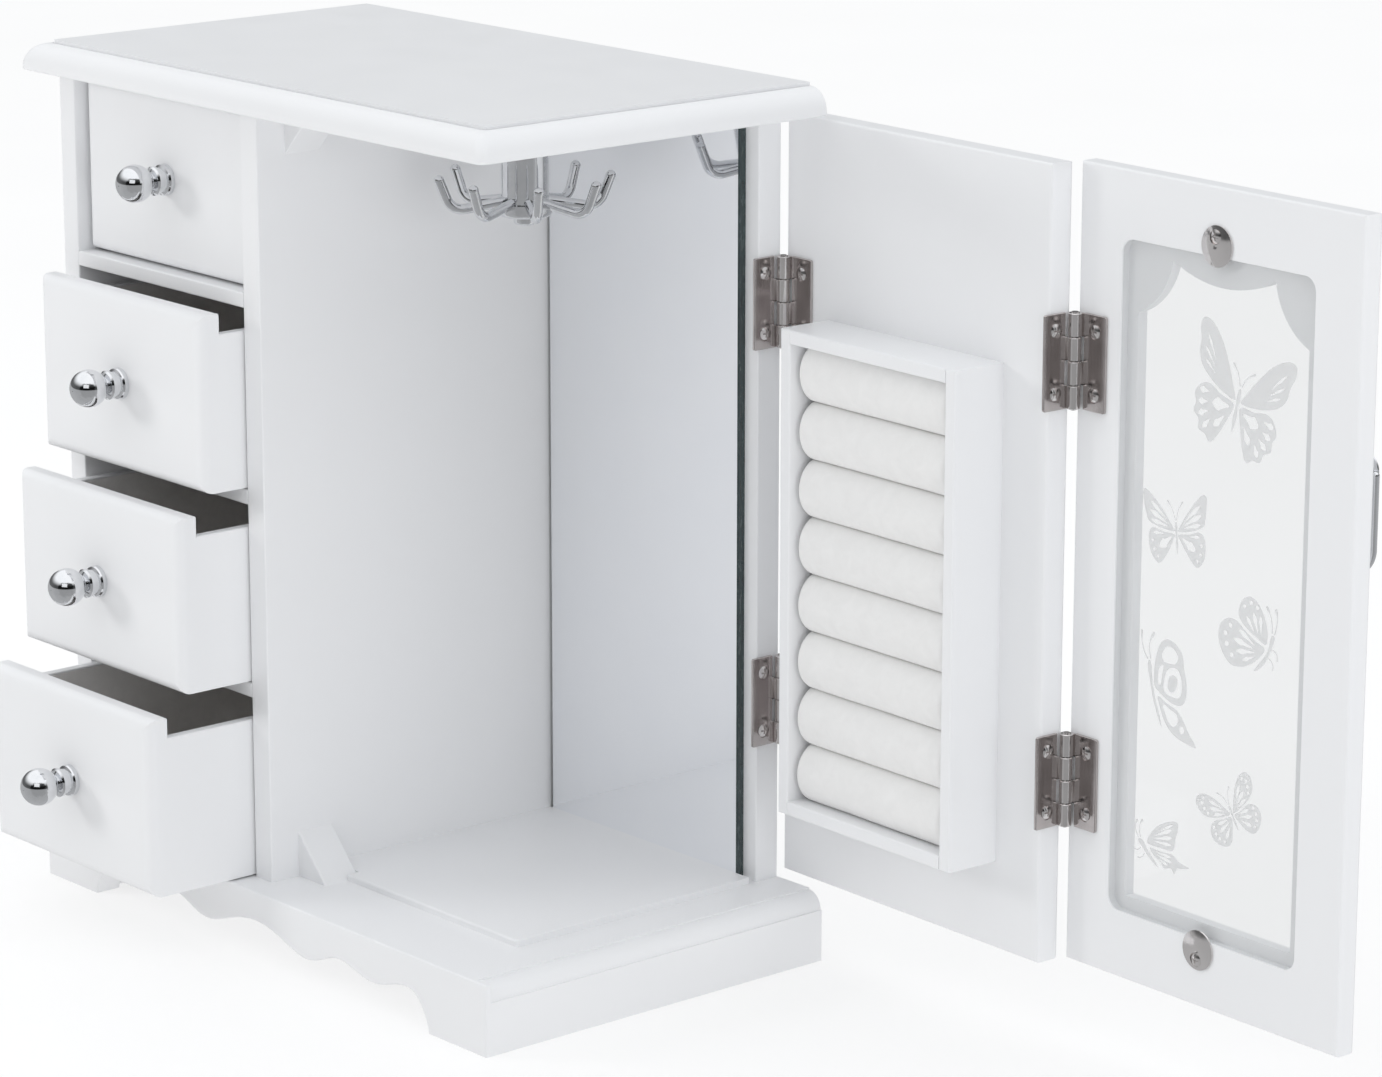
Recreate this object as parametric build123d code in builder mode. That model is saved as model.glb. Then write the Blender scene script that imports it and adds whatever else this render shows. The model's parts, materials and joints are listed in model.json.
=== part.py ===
import os
from math import cos, sin, radians, sqrt

from build123d import *

os.makedirs("parts", exist_ok=True)

# ---------------------------------------------------------------- dimensions
# Millimetres. Working layout: x to the right and y to the back, measured from
# the front right corner of the base; z up from the ground.
base_w, base_d = 267.5, 155.0          # base footprint
foot_h = 17.5                          # height of legs and foot rails
base_top = 26.0                        # top of the base board
base_round, base_step = 6.2, 0.6       # rounded-over sides of the base board
base_lip = 2.2                         # square strip left along its front
leg_w = 28.7                           # width of a leg and of a foot rail
apron_t = 10.0                         # thickness of the front apron
total_h = 320.0
slab_bottom = 309.0                    # underside of the top panel
slab_left, slab_right = -269.7, 1.6    # top panel, left and right edges
slab_front, slab_back = 0.0, 153.0
slab_step = 1.2                        # small step above the rounded edge
slab_inset = 8.9                       # flat top stands in by this much
slab_round = 8.2
slab_groove = 0.7                      # fine groove at the foot of the step
frame_front = 11.0                     # front plane of the drawer frame
left_x0, left_x1 = -260.5, -251.0      # left side panel
part_x0, part_x1 = -148.0, -138.0      # partition panel
back_x1 = -24.1                        # right end face of the back panel
back_y0, back_y1 = 144.5, 155.0        # back panel
shelf_z = (93.6, 165.3, 237.0)         # undersides of the drawer shelves
shelf_t = 5.5
mirror_t = 3.2
mirror_x0, mirror_x1 = -136.7, -31.0
pad_front, pad_t = 33.3, 2.4           # raised floor pad
stop_front, stop_back = 23.2, 38.4     # stop blocks
stop_h, stop_w = 17.0, 16.0
car_x, car_y = -77.5, 82.5             # carousel axis

# drawers
gap = 0.7                              # gap around a drawer front
front_t, front_round = 8.0, 4.0
front_closed = 15.0                    # face of a closed drawer front
edge_round = 0.6                       # broken edges of the painted boards
side_t, back_t, bottom_t = 4.0, 4.0, 3.0
side_drop = 7.5                        # sides stand lower than the front
box_back = 141.0                       # back of a closed drawer box
pulled = {"top": 0.0, "second": 22.3, "third": 34.2, "bottom": 48.8}
stud_r, stud_len = 2.0, 6.0

# doors, measured in a frame at each hinge axis: a along the door, b through it
door_turn = -1.75                      # doors stand this many degrees past square
leaf_off = 2.6                         # axis to mounting face
edge_off = -1.1                        # axis to edge of the board
axis1_x, axis1_y = back_x1 + leaf_off, back_y1 + edge_off
door_z0, door_z1 = 29.1, 307.2
side_w, side_door_t = 134.8, 10.5
front_w, front_door_t = 128.0, 9.0
tray_a0, tray_a1 = 21.6, 112.0
tray_z0, tray_z1 = 60.5, 236.5
tray_d, tray_wall = 22.0, 5.0
roll_count, roll_r = 8, 10.2
rebate_w, rebate_z0, rebate_z1, rebate_d = 87.6, 52.7, 284.3, 3.2
glass_t = 3.0
win_half, win_z0, win_shoulder = 38.8, 57.5, 259.6
win_peak_a, win_peak_z, win_mid_z = 23.2, 279.3, 273.6
clip_r, clip_t = 6.9, 1.6              # shallow domed discs
clip_edge = 0.6
clip_z = (287.9, 49.0)
handle_z, handle_from_edge, handle_p = 221.0, 13.0, 4.5
ring_half, ring_len, ring_r, bar_r = 8.5, 34.0, 1.3, 0.95

# hinges
hinge_z = (94.0, 240.0)
hinge_h = 33.0
leaf_t = 1.0
fixed_w, moving_w = 9.3, 10.3          # widths of the two leaves
leaf_edge = 0.25
barrel_r, pin_r, pin_fit = 2.4, 1.2, 0.05
leaf_gap = 2.7                         # plate keeps clear of the other knuckles
screw_dz, fixed_a, moving_a = 10.8, 7.0, 8.0
recess_r, recess_d = 2.75, 0.35        # shallow seat round a screw head
head_r, shank_r, shank_len = 2.3, 1.1, 7.0
head_rim, head_top = 0.35, 1.0         # domed head, above its seat

# ------------------------------------------------------------- shared frame
# The finished part has its origin under the middle of its overall box.
turn = radians(door_turn)
ea = (cos(turn), sin(turn))            # along the doors
eb = (-sin(turn), cos(turn))           # through the doors, to the back
a2 = edge_off + side_w + leaf_off      # second hinge axis in the first frame
b2 = leaf_off + side_door_t + edge_off
axis2_x = axis1_x + ea[0] * a2 + eb[0] * b2
axis2_y = axis1_y + ea[1] * a2 + eb[1] * b2
knob_reach = 20.5
cap_p = 10.8                           # reach of the handle rosette
box_x0 = slab_left
front_door_end = edge_off + front_w
front_outer = leaf_off + front_door_t
round_out, round_in = 2.5, 1.0         # rounding of the doors' edges
box_x1 = (
    axis2_x
    + ea[0] * (front_door_end - round_out)
    + eb[0] * (front_outer - round_out)
    + round_out
)
box_y0 = front_closed - pulled["bottom"] - knob_reach
handle_a = front_door_end - handle_from_edge
box_y1 = axis2_y + ea[1] * handle_a + eb[1] * (front_outer + cap_p)
OX = -(box_x0 + box_x1) / 2
OY = -(box_y0 + box_y1) / 2


def at(x, y, z):
    return (x + OX, y + OY, z)


cabinet = Plane(origin=(OX, OY, 0))
door_a = Plane(
    origin=at(axis1_x, axis1_y, 0), x_dir=(ea[0], ea[1], 0), z_dir=(0, 0, 1)
)
door_b = Plane(
    origin=at(axis2_x, axis2_y, 0), x_dir=(ea[0], ea[1], 0), z_dir=(0, 0, 1)
)
through = Axis((0, 0, 0), (eb[0], eb[1], 0))
along = Axis((0, 0, 0), (ea[0], ea[1], 0))


def upright(frame, a, b):
    """Upright sketch plane in a door frame: a to the right, z up, facing the front."""
    o = frame.from_local_coords(Vector(a, b, 0))
    return Plane(origin=o, x_dir=frame.x_dir, z_dir=frame.y_dir * -1)


def save(piece, name):
    piece.label = name
    export_step(piece, "parts/" + name + ".step")


# ------------------------------------------------------------------ cabinet
with BuildPart(cabinet) as top_panel:
    lower_h = total_h - slab_step - slab_bottom
    with Locations(
        (
            (slab_left + slab_right) / 2,
            (slab_front + slab_back) / 2,
            slab_bottom + lower_h / 2,
        )
    ):
        Box(slab_right - slab_left, slab_back - slab_front, lower_h)
    fillet(
        top_panel.edges().filter_by(Axis.Z).group_by(Axis.Y)[0],
        radius=3.0,
    )
    rim = top_panel.faces().sort_by(Axis.Z)[-1].edges()
    fillet(rim.sort_by(Axis.Y)[:-1], radius=slab_round)
    under = top_panel.faces().sort_by(Axis.Z)[0].edges()
    fillet(under.sort_by(Axis.Y)[:-1], radius=0.8)
    groove_z = total_h - slab_step - slab_groove
    with BuildSketch(
        Plane(
            origin=at(
                (slab_left + slab_right) / 2,
                (slab_front + slab_round + slab_back) / 2,
                groove_z,
            )
        )
    ) as groove:
        Rectangle(
            slab_right - slab_left - 2 * slab_round,
            slab_back - slab_front - slab_round,
        )
        fillet(groove.vertices().group_by(Axis.Y)[0], radius=2.2)
    extrude(amount=slab_groove + 1, mode=Mode.SUBTRACT)
    flat_w = slab_right - slab_left - 2 * slab_inset
    flat_d = slab_back - slab_front - slab_inset
    with BuildSketch(
        Plane(
            origin=at(
                (slab_left + slab_right) / 2,
                (slab_front + slab_inset + slab_back) / 2,
                groove_z - 0.5,
            )
        )
    ) as flat:
        Rectangle(flat_w, flat_d)
        fillet(flat.vertices().group_by(Axis.Y)[0], radius=1.5)
    extrude(amount=total_h - groove_z + 0.5)
save(top_panel.part, "top_panel")

with BuildPart(cabinet) as base_board:
    with Locations((-base_w / 2, base_d / 2, (foot_h + base_top) / 2)):
        Box(base_w, base_d, base_top - foot_h)
    fillet(base_board.edges().filter_by(Axis.Z).group_by(Axis.Y)[0], radius=0.8)
    rim = base_board.faces().sort_by(Axis.Z)[-1].edges()
    fillet(rim.filter_by(Axis.X).sort_by(Axis.Y)[0], radius=0.7)
    # rounded-over sides between two small steps, behind the front strip
    shelf_in = base_round + base_step
    low_z = base_top - shelf_in
    bow = base_round * sqrt(0.5)
    for s, x0 in ((1, 0.0), (-1, -base_w)):
        with BuildSketch(
            Plane(origin=at(0, base_lip, 0), x_dir=(1, 0, 0), z_dir=(0, -1, 0))
        ):
            with BuildLine():
                Polyline(
                    (x0 - s * base_step, low_z),
                    (x0 + s, low_z),
                    (x0 + s, base_top + 1),
                    (x0 - s * shelf_in, base_top + 1),
                    (x0 - s * shelf_in, base_top - base_step),
                )
                ThreePointArc(
                    (x0 - s * shelf_in, base_top - base_step),
                    (x0 - s * (shelf_in - bow), low_z + bow),
                    (x0 - s * base_step, low_z),
                )
            make_face()
        extrude(amount=-(base_d - base_lip + 1), mode=Mode.SUBTRACT)
save(base_board.part, "base_board")

# Scalloped lower edge of the apron, one half; the other half mirrors it.
half = [
    (-leg_w - 3.6, 0.0),
    (-36.6, 9.4),
    (-41.0, 12.9),
    (-47.0, 13.6),
    (-56.0, 11.4),
    (-65.0, 9.9),
    (-75.0, 11.9),
    (-85.0, 13.4),
    (-95.0, 10.2),
    (-104.0, 8.4),
    (-116.0, 11.4),
    (-base_w / 2, 15.0),
]
mirrored = [(-base_w - x, z) for x, z in reversed(half[:-1])]
with BuildPart() as front_apron:
    with BuildSketch(
        Plane(origin=at(0, 0, 0), x_dir=(1, 0, 0), z_dir=(0, -1, 0))
    ) as outline:
        with BuildLine():
            Polyline(
                half[0],
                (0, 0),
                (0, foot_h),
                (-base_w, foot_h),
                (-base_w, 0),
                mirrored[-1],
            )
            Spline(*(half + mirrored))
        make_face()
    extrude(amount=-apron_t)
    corner = front_apron.edges().filter_by(Axis.Z).group_by(Axis.Y)[0]
    fillet([corner.sort_by(Axis.X)[0], corner.sort_by(Axis.X)[-1]], radius=0.8)
    wave = front_apron.faces().sort_by(Axis.Y)[0].edges().filter_by(GeomType.BSPLINE)
    fillet(wave, radius=edge_round)
save(front_apron.part, "front_apron")

for name, x0 in (("left_foot_rail", -base_w), ("right_foot_rail", -leg_w)):
    with BuildPart(cabinet) as foot_rail:
        with Locations((x0 + leg_w / 2, (apron_t + base_d) / 2, foot_h / 2)):
            Box(leg_w, base_d - apron_t, foot_h)
    save(foot_rail.part, name)

wall_h = slab_bottom - base_top
wall_z = (slab_bottom + base_top) / 2
wall_d = back_y0 - frame_front
wall_y = (back_y0 + frame_front) / 2
with BuildPart(cabinet) as left_side_panel:
    with Locations(((left_x0 + left_x1) / 2, wall_y, wall_z)):
        Box(left_x1 - left_x0, wall_d, wall_h)
    fillet(left_side_panel.edges().filter_by(Axis.Z), radius=edge_round)
save(left_side_panel.part, "left_side_panel")

with BuildPart(cabinet) as partition_panel:
    with Locations(((part_x0 + part_x1) / 2, wall_y, wall_z)):
        Box(part_x1 - part_x0, wall_d, wall_h)
    fillet(
        partition_panel.edges().filter_by(Axis.Z).group_by(Axis.Y)[0],
        radius=edge_round,
    )
save(partition_panel.part, "partition_panel")

with BuildPart(cabinet) as back_panel:
    with Locations(
        ((left_x0 + back_x1) / 2, (back_y0 + back_y1) / 2, wall_z)
    ):
        Box(back_x1 - left_x0, back_y1 - back_y0, wall_h)
    fillet(back_panel.edges().filter_by(Axis.Z), radius=edge_round)
    # pilot holes for the hinge screws in the right end face
    with Locations(
        *[
            (back_x1 - shank_len / 2, axis1_y - fixed_a, z + s * screw_dz)
            for z in hinge_z
            for s in (-1, 1)
        ]
    ):
        Cylinder(
            shank_r, shank_len, rotation=(0, 90, 0), mode=Mode.SUBTRACT
        )
save(back_panel.part, "back_panel")

for name, z0 in zip(
    ("lower_drawer_shelf", "middle_drawer_shelf", "upper_drawer_shelf"), shelf_z
):
    with BuildPart(cabinet) as drawer_shelf:
        with Locations(((left_x1 + part_x0) / 2, wall_y, z0 + shelf_t / 2)):
            Box(part_x0 - left_x1, wall_d, shelf_t)
        fillet(
            drawer_shelf.edges().filter_by(Axis.X).group_by(Axis.Y)[0],
            radius=edge_round,
        )
    save(drawer_shelf.part, name)

with BuildPart(cabinet) as mirror_pane:
    with Locations(
        ((mirror_x0 + mirror_x1) / 2, back_y0 - mirror_t / 2, wall_z)
    ):
        Box(mirror_x1 - mirror_x0, mirror_t, wall_h)
    chamfer(
        mirror_pane.edges().filter_by(Axis.Z).group_by(Axis.Y)[0], length=0.5
    )
save(mirror_pane.part, "mirror")

# Floor pad, notched round the lower stop block.
pad_back = back_y0 - mirror_t
with BuildPart() as floor_pad:
    with BuildSketch(Plane(origin=at(0, 0, base_top))):
        with BuildLine():
            Polyline(
                (part_x1, pad_back),
                (part_x1, stop_back),
                (part_x1 + stop_w, stop_back),
                (part_x1 + stop_w, pad_front),
                (back_x1, pad_front),
                (back_x1, pad_back),
                close=True,
            )
        make_face()
    extrude(amount=pad_t)
    fillet(
        floor_pad.faces().sort_by(Axis.Z)[-1].edges().filter_by(Axis.X).sort_by(Axis.Y)[0],
        radius=0.8,
    )
save(floor_pad.part, "compartment_floor_pad")

for name, z0, s in (
    ("lower_stop_block", base_top, 1),
    ("upper_stop_block", slab_bottom, -1),
):
    with BuildPart() as stop_block:
        with BuildSketch(
            Plane(
                origin=at(0, stop_front, 0), x_dir=(1, 0, 0), z_dir=(0, -1, 0)
            )
        ):
            with BuildLine():
                Polyline(
                    (part_x1, z0),
                    (part_x1 + stop_w, z0),
                    (part_x1, z0 + s * stop_h),
                    close=True,
                )
            make_face()
        extrude(amount=-(stop_back - stop_front))
        slope = stop_block.faces().sort_by(Axis.X)[-1]
        fillet(slope.edges().filter_by(lambda e: abs(e.tangent_at(0.5).Y) < 0.5), radius=0.5)
    save(stop_block.part, name)

# Spindle of the carousel: mounting disc, shaft and retaining cap.
hub_z0, hub_z1 = 271.6, 306.0
with BuildPart(Plane(origin=at(car_x, car_y, 0))) as carousel_spindle:
    with Locations((0, 0, slab_bottom - 1.0)):
        Cylinder(13.0, 2.0)
    with Locations((0, 0, (268.6 + slab_bottom - 1.0) / 2)):
        Cylinder(2.5, slab_bottom - 1.0 - 268.6)
    with Locations((0, 0, 269.9)):
        Cylinder(4.2, 2.6)
    cap_rim = carousel_spindle.edges().filter_by(GeomType.CIRCLE).sort_by(Axis.Z)[0]
    fillet(cap_rim, radius=1.2)
save(carousel_spindle.part, "carousel_spindle")

# One hook: a wire that leaves the hub and turns up at its end.
wire_r = 1.8
with BuildPart() as hook:
    with BuildLine(Plane.XZ):
        wire = FilletPolyline(
            (3.6, 277.6), (26.0, 273.8), (30.4, 285.0), radius=6.0
        )
    with BuildSketch(Plane(origin=wire @ 0, z_dir=wire % 0)):
        Circle(wire_r)
    sweep()
    with Locations(wire @ 1):
        Sphere(wire_r + 0.05)

with BuildPart(Plane(origin=at(car_x, car_y, 0))) as hook_carousel:
    with Locations((0, 0, (hub_z0 + hub_z1) / 2)):
        Cylinder(8.4, hub_z1 - hub_z0)
    with Locations((0, 0, hub_z0 + 2.4)):
        Cylinder(9.8, 4.8)
    fillet(
        hook_carousel.edges().filter_by(GeomType.CIRCLE).sort_by(Axis.Z)[0],
        radius=1.8,
    )
    with PolarLocations(0, 8, start_angle=-30):
        add(hook.part)
    with Locations((0, 0, (hub_z0 + hub_z1) / 2)):
        Cylinder(2.5 + 0.06, hub_z1 - hub_z0 + 12, mode=Mode.SUBTRACT)
save(hook_carousel.part, "hook_carousel")

# ------------------------------------------------------------------ drawers
levels = {
    "bottom": (base_top, shelf_z[0]),
    "third": (shelf_z[0] + shelf_t, shelf_z[1]),
    "second": (shelf_z[1] + shelf_t, shelf_z[2]),
    "top": (shelf_z[2] + shelf_t, slab_bottom),
}
open_x0, open_x1 = left_x1, part_x0
mid_x = (open_x0 + open_x1) / 2
for level, (z0, z1) in levels.items():
    out = pulled[level]
    face_y = front_closed - out
    rear_y = face_y + front_t
    end_y = box_back - out
    lo, hi = z0 + gap, z1 - gap
    side_hi = hi - side_drop
    inner_x0 = open_x0 + gap + side_t
    inner_x1 = open_x1 - gap - side_t
    knob_z = (lo + hi) / 2

    with BuildPart(cabinet) as drawer_front:
        with Locations((mid_x, face_y + front_t / 2, knob_z)):
            Box(open_x1 - open_x0 - 2 * gap, front_t, hi - lo)
        fillet(drawer_front.faces().sort_by(Axis.Y)[0].edges(), radius=front_round)
        fillet(
            drawer_front.faces().sort_by(Axis.Y)[-1].edges().sort_by(Axis.Z)[-1],
            radius=edge_round,
        )
        with Locations((mid_x, face_y + stud_len / 2, knob_z)):
            Cylinder(
                stud_r, stud_len, rotation=(90, 0, 0), mode=Mode.SUBTRACT
            )
    save(drawer_front.part, level + "_drawer_front")

    for hand, x0 in (("left", open_x0 + gap), ("right", inner_x1)):
        with BuildPart(cabinet) as drawer_side:
            with Locations(
                (x0 + side_t / 2, (rear_y + end_y) / 2, (lo + side_hi) / 2)
            ):
                Box(side_t, end_y - rear_y, side_hi - lo)
            fillet(
                drawer_side.edges().filter_by(Axis.Y).group_by(Axis.Z)[-1],
                radius=edge_round,
            )
        save(drawer_side.part, level + "_drawer_" + hand + "_side")

    with BuildPart(cabinet) as drawer_back:
        with Locations((mid_x, end_y - back_t / 2, (lo + side_hi) / 2)):
            Box(inner_x1 - inner_x0, back_t, side_hi - lo)
        fillet(
            drawer_back.edges().filter_by(Axis.X).group_by(Axis.Z)[-1],
            radius=edge_round,
        )
    save(drawer_back.part, level + "_drawer_back")

    with BuildPart(cabinet) as drawer_bottom:
        with Locations(
            (mid_x, (rear_y + end_y - back_t) / 2, lo + 0.6 + bottom_t / 2)
        ):
            Box(inner_x1 - inner_x0, end_y - back_t - rear_y, bottom_t)
    save(drawer_bottom.part, level + "_drawer_bottom")

    # Turned knob: ball, neck, ringed collar and a stud into the front.
    ball_r, ball_y, neck_r = 6.9, -13.6, 3.0
    with BuildPart() as drawer_knob:
        with BuildSketch(Plane(origin=at(mid_x, face_y, knob_z))) as profile:
            with BuildLine():
                ThreePointArc(
                    (0, ball_y - ball_r),
                    (ball_r, ball_y),
                    (neck_r, ball_y + sqrt(ball_r**2 - neck_r**2)),
                )
                Polyline(
                    (neck_r, ball_y + sqrt(ball_r**2 - neck_r**2)),
                    (neck_r, -6.7),
                    (4.6, -6.5),
                    (5.3, -5.9),
                    (5.3, -4.9),
                    (4.6, -4.5),
                    (4.6, -2.7),
                    (5.5, -2.2),
                    (5.8, -1.6),
                    (5.8, 0),
                    (stud_r, 0),
                    (stud_r, stud_len),
                    (0, stud_len),
                    (0, ball_y - ball_r),
                )
            make_face()
        revolve(axis=Axis(at(mid_x, face_y, knob_z), (0, 1, 0)))
    save(drawer_knob.part, level + "_drawer_knob")

# ------------------------------------------------------------------- hinges
# Two leaf shapes about an upright axis at the origin. The fixed leaf lies on a
# face that looks along +a, the moving leaf on a face that looks along -b.
knuckle = hinge_h / 4
with BuildPart() as barrel:
    Cylinder(barrel_r, knuckle - 0.2)
    chamfer(barrel.edges().filter_by(GeomType.CIRCLE), length=0.25)

with BuildPart() as fixed_leaf:
    with Locations((-leaf_off + leaf_t / 2, -(leaf_gap + fixed_w / 2), 0)):
        Box(leaf_t, fixed_w, hinge_h)
    fillet(
        fixed_leaf.edges().filter_by(Axis.X).group_by(Axis.Y)[0], radius=0.8
    )
    fillet(fixed_leaf.faces().sort_by(Axis.X)[-1].edges(), radius=leaf_edge)
    for k in (0, 2):
        zc = -hinge_h / 2 + (k + 0.5) * knuckle
        with Locations((0, 0, zc)):
            add(barrel.part)
        with Locations((-leaf_off + leaf_t / 2, -leaf_gap / 2 - 0.2, zc)):
            Box(leaf_t, leaf_gap + 0.4, knuckle - 0.2)
    Cylinder(pin_r, hinge_h + 4, mode=Mode.SUBTRACT)
    with Locations(
        *[(-leaf_off + leaf_t / 2, -fixed_a, s * screw_dz) for s in (-1, 1)]
    ):
        Cylinder(shank_r, leaf_t, rotation=(0, 90, 0), mode=Mode.SUBTRACT)
    with Locations(
        *[
            (-leaf_off + leaf_t - recess_d / 2, -fixed_a, s * screw_dz)
            for s in (-1, 1)
        ]
    ):
        Cylinder(recess_r, recess_d, rotation=(0, 90, 0), mode=Mode.SUBTRACT)

with BuildPart() as moving_leaf:
    with Locations((leaf_gap + moving_w / 2, leaf_off - leaf_t / 2, 0)):
        Box(moving_w, leaf_t, hinge_h)
    fillet(
        moving_leaf.edges().filter_by(Axis.Y).group_by(Axis.X)[-1], radius=0.8
    )
    fillet(moving_leaf.faces().sort_by(Axis.Y)[0].edges(), radius=leaf_edge)
    for k in (1, 3):
        zc = -hinge_h / 2 + (k + 0.5) * knuckle
        with Locations((0, 0, zc)):
            add(barrel.part)
        with Locations((leaf_gap / 2 + 0.2, leaf_off - leaf_t / 2, zc)):
            Box(leaf_gap + 0.4, leaf_t, knuckle - 0.2)
    Cylinder(pin_r + pin_fit, hinge_h + 4, mode=Mode.SUBTRACT)
    with Locations(
        *[(moving_a, leaf_off - leaf_t / 2, s * screw_dz) for s in (-1, 1)]
    ):
        Cylinder(shank_r, leaf_t, rotation=(90, 0, 0), mode=Mode.SUBTRACT)
    with Locations(
        *[
            (moving_a, leaf_off - leaf_t + recess_d / 2, s * screw_dz)
            for s in (-1, 1)
        ]
    ):
        Cylinder(recess_r, recess_d, rotation=(90, 0, 0), mode=Mode.SUBTRACT)

with BuildPart() as hinge_pin:
    Cylinder(pin_r, hinge_h + 0.6)

# Screw along +z from its seat: shank below, domed head above, crossed slots.
shank_all = shank_len + leaf_t - recess_d
with BuildPart() as screw:
    with Locations((0, 0, -shank_all / 2)):
        Cylinder(shank_r, shank_all)
    with BuildSketch(Plane.XZ):
        with BuildLine():
            Polyline((0, head_top), (0, 0), (head_r, 0), (head_r, head_rim))
            head_dome = (head_r**2 + (head_top - head_rim) ** 2) / (
                2 * (head_top - head_rim)
            )
            ThreePointArc(
                (head_r, head_rim),
                (head_r / 2, head_top - head_dome + sqrt(head_dome**2 - head_r**2 / 4)),
                (0, head_top),
            )
        make_face()
    revolve(axis=Axis.Z)
    with Locations((0, 0, head_top)):
        Box(2.7, 0.6, 1.0, mode=Mode.SUBTRACT)
        Box(0.6, 2.7, 1.0, mode=Mode.SUBTRACT)

cabinet_axis = Plane(origin=at(axis1_x, axis1_y, 0))
with BuildPart(cabinet_axis) as cabinet_hinge_leaves:
    with Locations(*[(0, 0, z) for z in hinge_z]):
        add(fixed_leaf.part)
save(cabinet_hinge_leaves.part, "cabinet_hinge_leaves")

with BuildPart(cabinet_axis) as cabinet_hinge_pins:
    with Locations(*[(0, 0, z) for z in hinge_z]):
        add(hinge_pin.part)
save(cabinet_hinge_pins.part, "cabinet_hinge_pins")

seat = -leaf_off + leaf_t - recess_d
with BuildPart(cabinet_axis) as cabinet_hinge_screws:
    with Locations(
        *[
            Location((seat, -fixed_a, z + s * screw_dz), (0, 90, 0))
            for z in hinge_z
            for s in (-1, 1)
        ]
    ):
        add(screw.part)
save(cabinet_hinge_screws.part, "cabinet_hinge_screws")

# ---------------------------------------------------------------- side door
door_h = door_z1 - door_z0
door_zc = (door_z0 + door_z1) / 2
with BuildPart(door_a) as side_door_panel:
    with Locations(
        (edge_off + side_w / 2, leaf_off + side_door_t / 2, door_zc)
    ):
        Box(side_w, side_door_t, door_h)
    fillet(side_door_panel.faces().sort_by(through)[-1].edges(), radius=round_out)
    fillet(side_door_panel.faces().sort_by(through)[0].edges(), radius=round_in)
    with Locations(
        *[
            (moving_a, leaf_off + shank_len / 2, z + s * screw_dz)
            for z in hinge_z
            for s in (-1, 1)
        ]
    ):
        Cylinder(shank_r, shank_len, rotation=(90, 0, 0), mode=Mode.SUBTRACT)
    with Locations(
        *[
            (
                edge_off + side_w - shank_len / 2,
                b2 - fixed_a,
                z + s * screw_dz,
            )
            for z in hinge_z
            for s in (-1, 1)
        ]
    ):
        Cylinder(shank_r, shank_len, rotation=(0, 90, 0), mode=Mode.SUBTRACT)
save(side_door_panel.part, "side_door_panel")

tray_b = leaf_off - tray_d / 2
tray_zc = (tray_z0 + tray_z1) / 2
with BuildPart(door_a) as tray_sides:
    with Locations(
        (tray_a0 + tray_wall / 2, tray_b, tray_zc),
        (tray_a1 - tray_wall / 2, tray_b, tray_zc),
    ):
        Box(tray_wall, tray_d, tray_z1 - tray_z0)
    front_faces = tray_sides.faces().filter_by(
        lambda f: f.normal_at().dot(Vector(eb[0], eb[1], 0)) < -0.99
    )
    fillet(front_faces.edges(), radius=0.7)
save(tray_sides.part, "ring_tray_side_walls")

with BuildPart(door_a) as tray_ends:
    with Locations(
        ((tray_a0 + tray_a1) / 2, tray_b, tray_z0 + tray_wall / 2),
        ((tray_a0 + tray_a1) / 2, tray_b, tray_z1 - tray_wall / 2),
    ):
        Box(tray_a1 - tray_a0 - 2 * tray_wall, tray_d, tray_wall)
    lips = tray_ends.faces().filter_by(
        lambda f: f.normal_at().dot(Vector(eb[0], eb[1], 0)) < -0.99
    )
    fillet(
        lips.edges().filter_by(lambda e: abs(e.tangent_at(0.5).Z) < 0.01), radius=0.7
    )
save(tray_ends.part, "ring_tray_end_walls")

roll_len = tray_a1 - tray_a0 - 2 * tray_wall - 0.8
roll_pitch = (tray_z1 - tray_z0 - 2 * tray_wall) / roll_count
with BuildPart(door_a) as ring_rolls:
    with Locations(
        *[
            (
                (tray_a0 + tray_a1) / 2,
                leaf_off - roll_r - 0.3,
                tray_z0 + tray_wall + (k + 0.5) * roll_pitch,
            )
            for k in range(roll_count)
        ]
    ):
        Cylinder(roll_r, roll_len, rotation=(0, 90, 0))
    fillet(ring_rolls.edges().filter_by(GeomType.CIRCLE), radius=2.5)
save(ring_rolls.part, "ring_rolls")

with BuildPart(door_a) as side_door_hinge_leaves:
    with Locations(*[(0, 0, z) for z in hinge_z]):
        add(moving_leaf.part)
save(side_door_hinge_leaves.part, "side_door_hinge_leaves")

with BuildPart(door_b) as corner_hinge_leaves:
    with Locations(*[(0, 0, z) for z in hinge_z]):
        add(fixed_leaf.part)
save(corner_hinge_leaves.part, "corner_hinge_leaves")

with BuildPart(door_b) as corner_hinge_pins:
    with Locations(*[(0, 0, z) for z in hinge_z]):
        add(hinge_pin.part)
save(corner_hinge_pins.part, "corner_hinge_pins")

seat_b = leaf_off - leaf_t + recess_d
with BuildPart(door_a) as side_door_screws:
    with Locations(
        *[
            Location((moving_a, seat_b, z + s * screw_dz), (90, 0, 0))
            for z in hinge_z
            for s in (-1, 1)
        ]
    ):
        add(screw.part)
    with Locations(
        *[
            Location(
                (a2 + seat, b2 - fixed_a, z + s * screw_dz), (0, 90, 0)
            )
            for z in hinge_z
            for s in (-1, 1)
        ]
    ):
        add(screw.part)
save(side_door_screws.part, "side_door_screws")

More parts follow.
